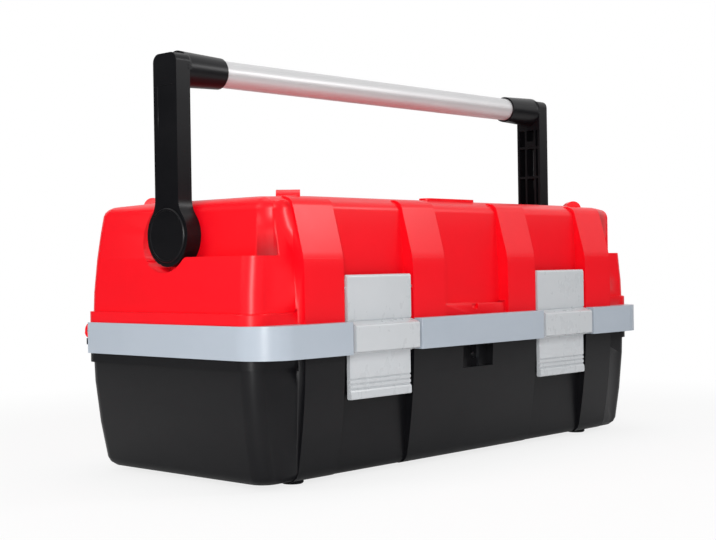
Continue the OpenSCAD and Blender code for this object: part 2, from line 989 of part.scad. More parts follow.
module arm_channel() {
    edge = 3;
    half = arm_w / 2;
    low = hub_r + 8;
    high = handle_rise - 22;
    rib_t = 2.6;
    difference() {
        on_arm(arm_in - past, arm_t - edge + past)
            translate([-half + edge, low])
                square([arm_w - 2 * edge, high - low]);
        on_arm(arm_in, arm_t) {
            for (y = [-half + edge + 3.2, -half + edge + 16.2])
                translate([y, low - past])
                    square([rib_t, high - low + 2 * past]);
            for (z = [low + web_up, low + 2 * web_up])
                translate([-half, z])
                    square([arm_w, rib_t]);
            translate([-half + edge + 3.2, low + 2 * web_up + 3])
                square([13, 6]);
        }
    }
}

// The socket that grips the tube, tapering to its mouth.
module boot() {
    mouth_r = tube_d / 2 + 2.1;
    root_r = tube_d / 2 + 4;
    translate([boot_x, handle_y, tube_z])
        rotate([0, 90, 0])
            cylinder(r1 = mouth_r, r2 = root_r, h = arm_in + 2 - boot_x);
}

module handle_arm() {
    color(black)
        difference() {
            union() {
                difference() {
                    on_arm(arm_in, arm_t)
                        arm_outline();
                    arm_channel();
                }
                boot();
            }
            rod_x(boot_x - past, arm_x - 6, handle_y, tube_z, tube_d / 2);
            rod_x(arm_in - past, arm_x - 4, handle_y, hub_z, pivot_d / 2 + run_gap);
            rod_x(arm_x - 1.6, arm_x + past, handle_y, hub_z, cap_r);
            // shallow panel on the outer face
            on_arm(arm_x - 0.5, 1)
                translate([-arm_w / 2 + 6, panel_up])
                    square([arm_w - 12, panel_h]);
        }
}

module handle_arm_right() { handle_arm(); }
module handle_arm_left() { mirror([1, 0, 0]) handle_arm(); }

module grip_tube() {
    color(alu)
        difference() {
            rod_x(-arm_x + 6, arm_x - 6, handle_y, tube_z, tube_d / 2);
            rod_x(-arm_x, arm_x, handle_y, tube_z, tube_d / 2 - tube_wall);
        }
}

module hub_caps() {
    color(black)
        both_sides()
            translate([arm_x - 1.6, handle_y, hub_z])
                rotate([0, 90, 0]) {
                    cylinder(r = cap_r, h = 1.6 + cap_t - 0.8);
                    translate([0, 0, 1.6 + cap_t - 0.8])
                        difference() {
                            cylinder(r1 = cap_r, r2 = cap_r - 0.8, h = 0.8);
                            translate([0, 0, 0.3])
                                cylinder(r1 = cap_r - 2.4, r2 = cap_r - 2.0, h = 0.8);
                        }
                }
}

module handle_pivots() {
    color(black)
        both_sides() {
            rod_x(recess_x - wall, arm_x - 4.6, handle_y, hub_z, pivot_d / 2);
            rod_x(recess_x - wall - 2.5, recess_x - wall, handle_y, hub_z, pivot_d / 2 + 4);
        }
}

// ---------------------------------------------------------------- trays and links

module tray_shell(y0, depth, z0, h) {
    difference() {
        union() {
            translate([0, 0, z0])
                linear_extrude(height = h)
                    round_rect(tray_x, y0, y0 + depth, tray_r);
            // lip along the front and back edges
            translate([0, 0, z0 + h - tray_t])
                linear_extrude(height = tray_t)
                    round_rect(tray_x - tray_r, y0 - tray_lip, y0 + depth + tray_lip, tray_lip);
        }
        translate([0, 0, z0 + tray_t])
            linear_extrude(height = h)
                round_rect(tray_x - tray_t, y0 + tray_t, y0 + depth - tray_t, tray_r - tray_t);
    }
}

module divider_y(x, y0, depth, z0, h) {
    translate([x - tray_t / 2, y0 + tray_t / 2, z0 + tray_t / 2])
        cube([tray_t, depth - tray_t, h - tray_t / 2 - 6]);
}

module divider_x(y, x0, x1, z0, h) {
    translate([x0, y - tray_t / 2, z0 + tray_t / 2])
        cube([x1 - x0, tray_t, h - tray_t / 2 - 6]);
}

// A boss on the tray's end wall that carries a link.
module tray_lug(p) {
    rod_x(tray_x - tray_t, boss_face, p[0], p[1], link_w / 2 - 0.2);
}

module lower_tray() {
    ear_top = long_mid[1] + link_w / 2;
    color(black)
        difference() {
            union() {
                tray_shell(lower_y, lower_d, lower_z, lower_h);
                divider_y(-tray_x / 3, lower_y, lower_d, lower_z, lower_h);
                divider_y(tray_x / 3, lower_y, lower_d, lower_z, lower_h);
                divider_x(lower_y + lower_d / 2, -tray_x / 3, tray_x / 3, lower_z, lower_h);
                both_sides() {
                    tray_lug(short_top);
                    // ear up to the long link's middle, outside the upper tray
                    translate([tray_x, 0, 0])
                        rotate([90, 0, 90])
                            linear_extrude(height = boss_face - tray_x) {
                                translate(long_mid)
                                    circle(r = link_w / 2 - 0.2);
                                translate([long_mid[0] - link_w / 2 + 0.2, lower_z + lower_h / 2])
                                    square([link_w - 0.4, long_mid[1] - lower_z - lower_h / 2]);
                            }
                }
            }
            both_sides() {
                rod_x(tray_x - 3 * tray_t, boss_face + past, short_top[0], short_top[1], rivet_d / 2);
                rod_x(tray_x + past, boss_face + past, long_mid[0], long_mid[1], rivet_d / 2);
            }
        }
}

module upper_tray() {
    color(black)
        difference() {
            union() {
                tray_shell(upper_y, upper_d, upper_z, upper_h);
                both_sides()
                    tray_lug(long_top);
            }
            both_sides() {
                rod_x(tray_x - 3 * tray_t, boss_face + past, long_top[0], long_top[1], rivet_d / 2);
                rod_x(tray_x - 3 * tray_t, tray_x + past, lid_pivot[0], lid_pivot[1], rivet_d / 2);
            }
        }
}

// Loose walls that stand on the upper tray's floor between its sides.
module upper_dividers() {
    mid = upper_y + 0.42 * upper_d;
    end = tray_x - tray_t;
    cross = end - tray_x / 2 - tray_t / 2;
    tall = upper_h - tray_t - 6;
    color(black)
        for (x = [-1, 0, 1]) {
            translate([x * tray_x / 2 - tray_t / 2, upper_y + tray_t, upper_z + tray_t])
                cube([tray_t, upper_d - 2 * tray_t, tall]);
            if (x != 0)
                translate([x < 0 ? -end : end - cross, mid - tray_t / 2, upper_z + tray_t])
                    cube([cross, tray_t, tall]);
        }
}

// A flat steel link through the points given, at x > 0.
module link(points) {
    a = points[0];
    b = points[len(points) - 1];
    reach = norm(b - a);
    turn = atan2(b[1] - a[1], b[0] - a[0]);
    color(steel)
        translate([link_x, 0, 0])
            rotate([90, 0, 90])
                linear_extrude(height = link_t)
                    difference() {
                        union() {
                            for (p = [a, b])
                                translate(p)
                                    circle(r = link_w / 2);
                            translate(a)
                                rotate(turn)
                                    translate([0, -link_w / 2])
                                        square([reach, link_w]);
                        }
                        for (p = points)
                            translate(p)
                                circle(r = rivet_d / 2 + run_gap);
                    }
}

module long_link_right() { link([long_foot, long_mid, long_top]); }
module long_link_left() { mirror([1, 0, 0]) long_link_right(); }
module short_link_right() { link([short_foot, short_top]); }
module short_link_left() { mirror([1, 0, 0]) short_link_right(); }

// A rivet along X from x0 to x1 with a head at the end where head is 1 or -1.
module rivet(p, x0, x1, head) {
    head_r = rivet_d / 2 + 2.5;
    rod_x(x0, x1, p[0], p[1], rivet_d / 2);
    rod_x(head > 0 ? x1 : x0 - head_t, head > 0 ? x1 + head_t : x0, p[0], p[1], head_r);
}

module tub_rivets() {
    color(steel)
        both_sides()
            for (p = [long_foot, short_foot])
                rivet(p, link_x - side_gap, anchor_face + rivet_deep, -1);
}

module lower_rivets() {
    color(steel)
        both_sides() {
            rivet(long_mid, tray_x + past, link_x + link_t + side_gap, 1);
            rivet(short_top, tray_x - tray_t, link_x + link_t + side_gap, 1);
        }
}

module upper_rivets() {
    color(steel)
        both_sides()
            rivet(long_top, tray_x - tray_t, link_x + link_t + side_gap, 1);
}

module lid_tray_pins() {
    color(steel)
        both_sides()
            rivet(lid_pivot, tray_x - tray_t, tray_x + 2 * rivet_deep - 1, -1);
}

// ---------------------------------------------------------------- output

tub();
foot_front_left();
foot_front_right();
foot_rear_left();
foot_rear_right();
band_left();
band_front();
band_right();
lid();
hinge_pins();
latch_left();
latch_right();
latch_pins();
handle_arm_left();
handle_arm_right();
grip_tube();
hub_caps();
handle_pivots();
lower_tray();
upper_tray();
upper_dividers();
long_link_left();
long_link_right();
short_link_left();
short_link_right();
tub_rivets();
lower_rivets();
upper_rivets();
lid_tray_pins();
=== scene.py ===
"""Cantilever tool box: moulded plastic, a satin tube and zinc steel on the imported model."""

import json
import logging
import math
from dataclasses import dataclass, field
from enum import Enum

import bmesh
import bpy
from mathutils import Matrix, Vector
from mathutils.bvhtree import BVHTree

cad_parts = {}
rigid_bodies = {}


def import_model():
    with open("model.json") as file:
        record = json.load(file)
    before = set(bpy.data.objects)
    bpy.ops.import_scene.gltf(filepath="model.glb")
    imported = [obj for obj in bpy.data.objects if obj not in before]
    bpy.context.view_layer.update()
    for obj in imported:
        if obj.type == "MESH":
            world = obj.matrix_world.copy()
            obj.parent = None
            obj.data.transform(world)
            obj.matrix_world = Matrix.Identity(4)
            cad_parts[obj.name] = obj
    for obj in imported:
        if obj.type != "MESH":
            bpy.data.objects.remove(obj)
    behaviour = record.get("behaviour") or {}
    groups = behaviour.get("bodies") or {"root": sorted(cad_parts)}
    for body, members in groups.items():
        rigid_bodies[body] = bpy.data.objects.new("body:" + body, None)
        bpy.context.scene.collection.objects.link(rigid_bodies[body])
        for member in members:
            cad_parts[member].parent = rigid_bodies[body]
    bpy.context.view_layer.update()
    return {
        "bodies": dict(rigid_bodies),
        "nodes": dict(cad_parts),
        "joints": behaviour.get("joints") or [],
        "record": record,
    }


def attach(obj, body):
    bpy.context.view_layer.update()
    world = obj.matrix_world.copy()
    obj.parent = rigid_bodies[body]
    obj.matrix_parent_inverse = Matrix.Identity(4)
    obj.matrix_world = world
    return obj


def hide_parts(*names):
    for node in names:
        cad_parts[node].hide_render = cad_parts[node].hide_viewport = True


LOG = logging.getLogger("tool_box")

# joining a solid's loose triangles: a length in metres and an angle in radians
MERGE_BELOW = 0.000002
FLAT_BELOW = math.radians(0.3)

# rounding: which edges are sharp, and how a round is made
SHARP_ABOVE = math.radians(30.0)
SMOOTH_BELOW = math.radians(32.0)
ROUND_SEGMENTS = 2
ROUNDING_TRIES = 12

# rounding: how wide a face has to be, in edge radii, and where its width is taken
ROOM_PER_EDGE = 2.4
ROOM_SAMPLES = (0.25, 0.5, 0.75)

# rounding: the sine under which two edges run straight on
STRAIGHT_BELOW = 0.05

# rounding: what counts as a fold (a share, and square metres) or as a stray corner (edge radii)
FOLD_SHARE = 1.002
FOLD_AREA = 0.000000002
STRAY_PER_EDGE = 0.6

# shading: the middle of a noise pattern, and white as a colour
NOISE_MIDDLE = 0.5
WHITE = (1.0, 1.0, 1.0, 1.0)


# ------------------------------------------------------------------ shader maths


class Value:
    """A socket of a material that Python's operators can work on."""

    def __init__(self, paint: "Paint", socket: bpy.types.NodeSocket) -> None:
        """Wraps a socket.

        Args:
            paint: The material that the socket belongs to.
            socket: The output socket.
        """
        self.paint = paint
        self.socket = socket

    def _maths(self, kind: str, *terms: "Value | float") -> "Value":
        """Adds a Math node.

        Args:
            kind: The node's operation.
            terms: Its inputs, in order.

        Returns:
            The node's result.
        """
        return self.paint.node("ShaderNodeMath", {"operation": kind}, dict(enumerate(terms)))

    def __add__(self, other: "Value | float") -> "Value":
        """Adds."""
        return self._maths("ADD", self, other)

    __radd__ = __add__

    def __mul__(self, other: "Value | float") -> "Value":
        """Multiplies."""
        return self._maths("MULTIPLY", self, other)

    __rmul__ = __mul__

    def __sub__(self, other: "Value | float") -> "Value":
        """Takes other away."""
        return self._maths("SUBTRACT", self, other)

    def __rsub__(self, other: float) -> "Value":
        """Takes this value away from a number."""
        return self._maths("SUBTRACT", other, self)

    def __abs__(self) -> "Value":
        """Drops the sign."""
        return self._maths("ABSOLUTE", self)

    def clamp(self, low: float = 0.0, high: float = 1.0) -> "Value":
        """Keeps the value between low and high."""
        return self._maths("MINIMUM", self._maths("MAXIMUM", self, low), high)

    def swing(self, share: float) -> "Value":
        """Turns a noise pattern into a swing about zero, scaled by share."""
        return (self - NOISE_MIDDLE) * share

    def step(self, start: float, end: float) -> "Value":
        """Rises smoothly from 0 at start to 1 at end.

        Args:
            start: Where the rise starts.
            end: Where it ends.

        Returns:
            A value from 0 to 1.
        """
        return self.paint.node(
            "ShaderNodeMapRange",
            {"interpolation_type": "SMOOTHSTEP"},
            {"Value": self, "From Min": start, "From Max": end},
        )


class Paint:
    """A material that is being built, with its Principled shader."""

    def __init__(self, name: str) -> None:
        """Makes an empty material with a Principled shader.

        Args:
            name: The material's name.
        """
        self.material = bpy.data.materials.new(name)
        self.material.use_nodes = True
        self.tree = self.material.node_tree
        self.tree.nodes.clear()
        self.shader = self.tree.nodes.new("ShaderNodeBsdfPrincipled")
        self.output = self.tree.nodes.new("ShaderNodeOutputMaterial")
        self.tree.links.new(self.shader.outputs["BSDF"], self.output.inputs["Surface"])

    def node(
        self,
        kind: str,
        settings: dict[str, object] | None = None,
        inputs: dict[str | int, object] | None = None,
        output: str | int = 0,
    ) -> Value:
        """Adds a node of any kind.

        Args:
            kind: The node's type.
            settings: Its settings, which are set first.
            inputs: The values or links of its sockets, by name or number.
            output: The output to return, by name or number.

        Returns:
            The chosen output.
        """
        made = self.tree.nodes.new(kind)
        for key, setting in (settings or {}).items():
            setattr(made, key, setting)
        for key, given in (inputs or {}).items():
            if isinstance(given, Value):
                self.tree.links.new(given.socket, made.inputs[key])
            else:
                made.inputs[key].default_value = given
        return Value(self, made.outputs[output])

    def place(self) -> Value:
        """Gives the point on the object, in metres."""
        return self.node("ShaderNodeTexCoord", output="Object")

    def split(self, vector: Value, axis: str) -> Value:
        """Gives one part of a vector: X, Y or Z."""
        return self.node("ShaderNodeSeparateXYZ", inputs={0: vector}, output=axis)

    def noise(
        self,
        scale: float,
        detail: float = 2.0,
        stretch: tuple[float, float, float] = (1.0, 1.0, 1.0),
    ) -> Value:
        """Adds a noise pattern on the object's own coordinates.

        Args:
            scale: How many grains there are to a metre.
            detail: How many finer layers it has.
            stretch: How much the pattern is squeezed along X, Y and Z.

        Returns:
            A value round 0.5.
        """
        moved = self.node(
            "ShaderNodeVectorMath", {"operation": "MULTIPLY"}, {0: self.place(), 1: stretch}
        )
        return self.node(
            "ShaderNodeTexNoise", inputs={"Vector": moved, "Scale": scale, "Detail": detail}
        )

    def mix(self, share: Value, first: tuple[float, ...], second: tuple[float, ...]) -> Value:
        """Mixes two colours.

        Args:
            share: How much of the second there is.
            first: The colour at 0.
            second: The colour at 1.

        Returns:
            The mixed colour.
        """
        return self.node(
            "ShaderNodeMix",
            {"data_type": "RGBA"},
            {0: share, 6: (*first, 1.0), 7: (*second, 1.0)},
            output=2,
        )

    def bump(self, height: Value, depth: float) -> Value:
        """Turns a height into a normal.

        Args:
            height: The height, from 0 to 1.
            depth: What 1 stands for, in metres.

        Returns:
            The normal.
        """
        return self.node("ShaderNodeBump", inputs={"Height": height, "Distance": depth})

    def drive(self, name: str, value: Value) -> None:
        """Links a value to one of the shader's sockets."""
        self.tree.links.new(value.socket, self.shader.inputs[name])

    def fix(self, **values: float) -> None:
        """Sets sockets of the shader, with underscores for spaces."""
        for key, value in values.items():
            self.shader.inputs[key.replace("_", " ")].default_value = value


# ------------------------------------------------------------------ finishes


@dataclass(frozen=True)
class MouldedPlastic:
    """Plastic from a spark-eroded mould: fine grain, faint flow marks and light rubbing."""

    name: str
    colour: tuple[float, float, float]
    shade: tuple[float, float, float]
    roughness: float
    gloss: float = 0.2
    ior: float = 1.5
    flow: float = 9.0
    flow_stretch: tuple[float, float, float] = (1.0, 1.0, 2.5)
    flow_share: float = 1.6
    flow_gloss: float = 0.04
    cloud: float = 81.0
    cloud_share: float = 0.5
    rub: float = 140.0
    rub_stretch: tuple[float, float, float] = (1.0, 1.0, 0.6)
    rub_gloss: float = 0.05
    roughness_least: float = 0.05
    peel: float = 210.0
    grain: float = 1100.0
    grain_share: float = 0.12
    grain_depth: float = 0.000007
    seam_z: float | None = None
    seam_half: float = 0.0002
    seam_fade: float = 0.0006
    seam_height: float = 4.0

    def build(self) -> bpy.types.Material:
        """Builds the material.

        Returns:
            The finished material.
        """
        paint = Paint(self.name)
        flow = paint.noise(self.flow, 3.0, self.flow_stretch)
        cloud = paint.noise(self.cloud, 2.0)
        share = flow.swing(self.flow_share) + cloud.swing(self.cloud_share) + NOISE_MIDDLE
        paint.drive("Base Color", paint.mix(share.clamp(), self.colour, self.shade))
        rub = paint.noise(self.rub, 4.0, self.rub_stretch)
        matt = rub.swing(self.rub_gloss) + flow.swing(self.flow_gloss) + self.roughness
        paint.drive("Roughness", matt.clamp(self.roughness_least, 1.0))
        height = paint.noise(self.peel, 1.0) + paint.noise(self.grain, 1.0) * self.grain_share
        if self.seam_z is not None:
            away = abs(paint.split(paint.place(), "Z") - self.seam_z)
            seam = 1.0 - away.step(self.seam_half, self.seam_fade)
            height = height + seam * self.seam_height
        paint.drive("Normal", paint.bump(height, self.grain_depth))
        paint.fix(Specular_IOR_Level=self.gloss, IOR=self.ior)
        return paint.material


@dataclass(frozen=True)
class SatinTube:
    """Drawn aluminium tube with a pale satin coat and faint drawing lines."""

    name: str
    colour: tuple[float, float, float]
    shade: tuple[float, float, float]
    roughness: float
    metallic: float = 0.35
    lines: float = 900.0
    lines_stretch: tuple[float, float, float] = (0.02, 1.0, 1.0)
    lines_share: float = 0.6
    lines_gloss: float = 0.12
    lines_depth: float = 0.00001
    cloud: float = 30.0
    cloud_stretch: tuple[float, float, float] = (0.4, 1.0, 1.0)

    def build(self) -> bpy.types.Material:
        """Builds the material.

        Returns:
            The finished material.
        """
        paint = Paint(self.name)
        lines = paint.noise(self.lines, 2.0, self.lines_stretch)
        cloud = paint.noise(self.cloud, 2.0, self.cloud_stretch)
        share = (lines.swing(self.lines_share) + cloud).clamp()
        paint.drive("Base Color", paint.mix(share, self.colour, self.shade))
        paint.drive("Roughness", lines.swing(self.lines_gloss) + self.roughness)
        paint.drive("Normal", paint.bump(lines, self.lines_depth))
        paint.fix(Metallic=self.metallic)
        return paint.material


@dataclass(frozen=True)
class ZincSteel:
    """Zinc-plated steel with a fine spangle."""

    name: str
    colour: tuple[float, float, float] = (0.60, 0.61, 0.64)
    shade: tuple[float, float, float] = (0.46, 0.47, 0.50)
    roughness: float = 0.3
    spangle: float = 500.0
    spangle_gloss: float = 0.16
    grain: float = 1800.0
    grain_depth: float = 0.00001

    def build(self) -> bpy.types.Material:
        """Builds the material.

        Returns:
            The finished material.
        """
        paint = Paint(self.name)
        cells = paint.node(
            "ShaderNodeTexVoronoi",
            {"feature": "F1"},
            {"Vector": paint.place(), "Scale": self.spangle},
            output="Color",
        )
        tone = paint.node("ShaderNodeRGBToBW", inputs={0: cells})
        paint.drive("Base Color", paint.mix(tone, self.colour, self.shade))
        paint.drive("Roughness", tone * self.spangle_gloss + self.roughness)
        paint.drive("Normal", paint.bump(paint.noise(self.grain), self.grain_depth))
        paint.fix(Metallic=1.0)
        return paint.material


class Finish(Enum):
    """The finishes of the tool box."""

    RED = MouldedPlastic(
        "red_plastic",
        (0.88, 0.001, 0.010),
        (0.83, 0.001, 0.008),
        roughness=0.34,
        gloss=0.3,
        seam_z=0.2,
    )
    BLACK = MouldedPlastic(
        "black_plastic",
        (0.003, 0.003, 0.004),
        (0.006, 0.006, 0.007),
        roughness=0.34,
    )
    GREY = MouldedPlastic(
        "grey_plastic",
        (0.39, 0.44, 0.50),
        (0.42, 0.47, 0.53),
        roughness=0.3,
        gloss=0.5,
    )
    PALE = MouldedPlastic(
        "pale_plastic",
        (0.52, 0.545, 0.565),
        (0.56, 0.58, 0.60),
        roughness=0.28,
        gloss=0.5,
    )
    TRAY = MouldedPlastic(
        "tray_plastic",
        (0.024, 0.024, 0.027),
        (0.032, 0.032, 0.036),
        roughness=0.5,
    )
    TUBE = SatinTube(
        "tube_metal",
        (0.62, 0.615, 0.62),
        (0.54, 0.54, 0.55),
        roughness=0.42,
    )
    STEEL = ZincSteel("steel")


class Finishes:
    """Builds each finish once and hands it out."""

    def __init__(self) -> None:
        """Starts with none built."""
        self._built: dict[Finish, bpy.types.Material] = {}

    def get(self, finish: Finish) -> bpy.types.Material:
        """Gives a finish's material, which is built on first use.

        Args:
            finish: The finish.

        Returns:
            Its material.
        """
        if finish not in self._built:
            self._built[finish] = finish.value.build()
        return self._built[finish]


# ------------------------------------------------------------------ pieces


@dataclass
class Casting:
    """A moulded or pressed piece: the frame's solid, merged, with its sharp edges rounded."""

    frame: dict
    finishes: Finishes
    node: str
    body: str
    finish: Finish
    edge: float

    def build(self) -> bpy.types.Object:
        """Builds the piece and puts it in the node's place.

        Returns:
            The piece.
        """
        piece = self._merged_copy()
        self._round_edges(piece)
        bpy.ops.object.shade_smooth_by_angle(angle=SMOOTH_BELOW)
        shading = piece.modifiers.new("shading", "WEIGHTED_NORMAL")
        shading.keep_sharp = True
        bpy.ops.object.modifier_apply(modifier=shading.name)
        piece.data.materials.clear()
        piece.data.materials.append(self.finishes.get(self.finish))
        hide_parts(self.node)
        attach(piece, self.body)
        LOG.info("built %s: %d faces", piece.name, len(piece.data.polygons))
        return piece

    def _merged_copy(self) -> bpy.types.Object:
        """Copies the node and joins its loose triangles into flat faces.

        Returns:
            The copy, which is active and selected.
        """
        mesh = self.frame["nodes"][self.node].data.copy()
        piece = bpy.data.objects.new(f"{self.node}_moulded", mesh)
        bpy.context.scene.collection.objects.link(piece)
        bpy.ops.object.select_all(action="DESELECT")
        piece.select_set(True)
        bpy.context.view_layer.objects.active = piece
        bpy.ops.object.mode_set(mode="EDIT")
        bpy.ops.mesh.select_all(action="SELECT")
        bpy.ops.mesh.remove_doubles(threshold=MERGE_BELOW)
        bpy.ops.mesh.dissolve_limited(angle_limit=FLAT_BELOW)
        bpy.ops.object.mode_set(mode="OBJECT")
        return piece

    def _round_edges(self, piece: bpy.types.Object) -> None:
        """Rounds the sharp edges, and leaves those alone that would fold a face.

        Args:
            piece: The merged copy, which is active.
        """
        plain = piece.data
        source = plain.attributes.new("source", "INT", "FACE")
        for face in plain.polygons:
            source.data[face.index].value = face.index
        touching: dict[int, set[int]] = {}
        for face in plain.polygons:
            for corner in face.vertices:
                touching.setdefault(corner, set()).add(face.index)
        corners = [corner.co for corner in plain.vertices]
        surface = BVHTree.FromPolygons(corners, [tuple(face.vertices) for face in plain.polygons])
        held: set[int] = set()
        for _ in range(ROUNDING_TRIES):
            piece.data = self._marked(plain, held)
            rounding = piece.modifiers.new("edges", "BEVEL")
            rounding.width = self.edge
            rounding.segments = ROUND_SEGMENTS
            rounding.limit_method = "WEIGHT"
            rounding.use_clamp_overlap = False
            rounding.miter_outer = "MITER_SHARP"
            bpy.ops.object.modifier_apply(modifier=rounding.name)
            faulty = self._folded(piece.data) | self._strayed(piece.data, surface)
            if not faulty:
                break
            again = [plain.polygons[face] for face in faulty & held]
            held |= faulty
            for face in again:
                for corner in face.vertices:
                    held |= touching[corner]
        LOG.info("%s: %d faces keep their edges sharp", piece.name, len(held))

    def _marked(self, plain: bpy.types.Mesh, held: set[int]) -> bpy.types.Mesh:
        """Marks the sharp edges that have room for a round.

        Args:
            plain: The merged mesh.
            held: Faces whose edges stay sharp.

        Returns:
            A marked copy of the mesh.
        """
        mesh = plain.copy()
        shape = bmesh.new()
        shape.from_mesh(mesh)
        weight = shape.edges.layers.float.new("bevel_weight_edge")
        for edge in shape.edges:
            if edge.is_manifold and edge.calc_face_angle() > SHARP_ABOVE:
                if not any(face.index in held for face in edge.link_faces):
                    room = min(self._room(loop) for loop in edge.link_loops)
                    edge[weight] = 1.0 if room > ROOM_PER_EDGE * self.edge else 0.0
        crowded = True
        while crowded:
            crowded = False
            for loop in (loop for face in shape.faces for loop in face.loops):
                around = (loop.link_loop_prev.edge, loop.edge, loop.link_loop_next.edge)
                if any(edge[weight] for edge in around) and self._left_over(loop, weight) < 0.0:
                    crowded = True
                    for edge in around:
                        edge[weight] = 0.0
        shape.to_mesh(mesh)
        shape.free()
        return mesh

    @staticmethod
    def _room(loop: bmesh.types.BMLoop) -> float:
        """Gives how wide a face is, measured inward from three points on one of its edges.

        Args:
            loop: The edge in its face.

        Returns:
            The smallest of the widths.
        """
        start, end = loop.vert.co, loop.link_loop_next.vert.co
        along = (end - start).normalized()
        inward = loop.face.normal.cross(along)
        widths = []
        for share in ROOM_SAMPLES:
            place = start.lerp(end, share)
            for other in loop.face.loops:
                if other == loop:
                    continue
                one = other.vert.co - place
                two = other.link_loop_next.vert.co - place
                if (one.dot(along) < 0.0) != (two.dot(along) < 0.0):
                    cut = one.dot(along) / (one.dot(along) - two.dot(along))
                    width = one.lerp(two, cut).dot(inward)
                    if width > 0.0:
                        widths.append(width)
        return min(widths, default=0.0)

    def _left_over(self, loop: bmesh.types.BMLoop, weight: bmesh.types.BMLayerItem) -> float:
        """Gives what the rounds at both ends leave of an edge in one of its faces.

        Args:
            loop: The edge in its face.
            weight: The layer with the marks.

        Returns:
            The length that is left, below zero where the face would fold.
        """
        left = loop.edge.calc_length()
        ends = ((loop, loop.link_loop_prev.edge), (loop.link_loop_next, loop.link_loop_next.edge))
        for corner, neighbour in ends:
            angle = corner.calc_angle() if corner.is_convex else 2.0 * math.pi - corner.calc_angle()
            if abs(math.sin(angle)) > STRAIGHT_BELOW:
                taken = neighbour[weight] + loop.edge[weight] * math.cos(angle)
                left -= self.edge * taken / math.sin(angle)
        return left

    @staticmethod
    def _folded(mesh: bpy.types.Mesh) -> set[int]:
        """Finds faces that cover more than their outline holds.

        Args:
            mesh: The rounded mesh.

        Returns:
            The faces of the merged mesh that they come from.
        """
        covered = [0.0] * len(mesh.polygons)
        mesh.calc_loop_triangles()
        for triangle in mesh.loop_triangles:
            covered[triangle.polygon_index] += triangle.area
        source = mesh.attributes["source"].data
        return {
            source[face.index].value
            for face in mesh.polygons
            if covered[face.index] > face.area * FOLD_SHARE + FOLD_AREA
        }

    def _strayed(self, mesh: bpy.types.Mesh, surface: BVHTree) -> set[int]:
        """Finds faces with a corner that has left the solid's surface.

        Args:
            mesh: The rounded mesh.
            surface: The merged mesh's surface.

        Returns:
            The faces of the merged mesh that they come from.
        """
        limit = STRAY_PER_EDGE * self.edge
        strayed = {
            corner.index
            for corner in mesh.vertices
            if (surface.find_nearest(corner.co)[3] or 0.0) > limit
        }
        source = mesh.attributes["source"].data
        return {
            source[face.index].value
            for face in mesh.polygons
            if any(corner in strayed for corner in face.vertices)
        }


# ------------------------------------------------------------------ sub-assemblies


@dataclass
class SubAssembly:
    """Pieces that belong together; each kind holds its edge radii in metres."""

    frame: dict
    finishes: Finishes

    def cast(self, nodes: tuple[str, ...], finish: Finish, edge: float) -> None:
        """Builds pieces that share a finish and an edge radius.

        Args:
            nodes: The nodes that they stand for, in order.
            finish: Their finish.
            edge: The radius along their edges.
        """
        bodies = self.frame["record"]["behaviour"]["bodies"]
        for node in nodes:
            body = next(name for name, members in bodies.items() if node in members)
            Casting(self.frame, self.finishes, node, body, finish, edge).build()


@dataclass
class Tub(SubAssembly):
    """The black tub on its four feet, with the pale band round its rim."""

    wall_edge: float = 0.0011
    band_edge: float = 0.0004

    def build(self) -> None:
        """Builds the tub, the feet and the band."""
        feet = ("foot_front_left", "foot_front_right", "foot_rear_left", "foot_rear_right")
        self.cast(("tub", *feet), Finish.BLACK, self.wall_edge)
        self.cast(("band_left", "band_front", "band_right"), Finish.GREY, self.band_edge)


@dataclass
class Lid(SubAssembly):
    """The red lid on its two hinge pins."""

    wall_edge: float = 0.0011
    pin_edge: float = 0.00025

    def build(self) -> None:
        """Builds the lid and the pins."""
        self.cast(("lid",), Finish.RED, self.wall_edge)
        self.cast(("hinge_pins",), Finish.STEEL, self.pin_edge)


@dataclass
class Latches(SubAssembly):
    """The two draw latches on their pins."""

    plate_edge: float = 0.0006
    pin_edge: float = 0.00025

    def build(self) -> None:
        """Builds the latches and the pins."""
        self.cast(("latch_left", "latch_right"), Finish.PALE, self.plate_edge)
        self.cast(("latch_pins",), Finish.STEEL, self.pin_edge)


@dataclass
class Handle(SubAssembly):
    """The two moulded arms with the grip tube between them, on their pivots."""

    arm_edge: float = 0.0011
    tube_edge: float = 0.0004

    def build(self) -> None:
        """Builds the arms, the tube, the hub caps and the pivots."""
        self.cast(("handle_arm_left", "handle_arm_right"), Finish.BLACK, self.arm_edge)
        self.cast(("grip_tube",), Finish.TUBE, self.tube_edge)
        self.cast(("hub_caps", "handle_pivots"), Finish.BLACK, self.arm_edge)


@dataclass
class Trays(SubAssembly):
    """The two trays with their dividers."""

    wall_edge: float = 0.0004

    def build(self) -> None:
        """Builds the trays and the dividers."""
        self.cast(("lower_tray", "upper_tray", "upper_dividers"), Finish.TRAY, self.wall_edge)


@dataclass
class Linkage(SubAssembly):
    """The flat steel links that carry the trays, with their rivets and pins."""

    steel_edge: float = 0.00025

    def build(self) -> None:
        """Builds the links, the rivets and the pins."""
        links = ("long_link_left", "long_link_right", "short_link_left", "short_link_right")
        rivets = ("tub_rivets", "lower_rivets", "upper_rivets", "lid_tray_pins")
        self.cast((*links, *rivets), Finish.STEEL, self.steel_edge)


# ------------------------------------------------------------------ studio


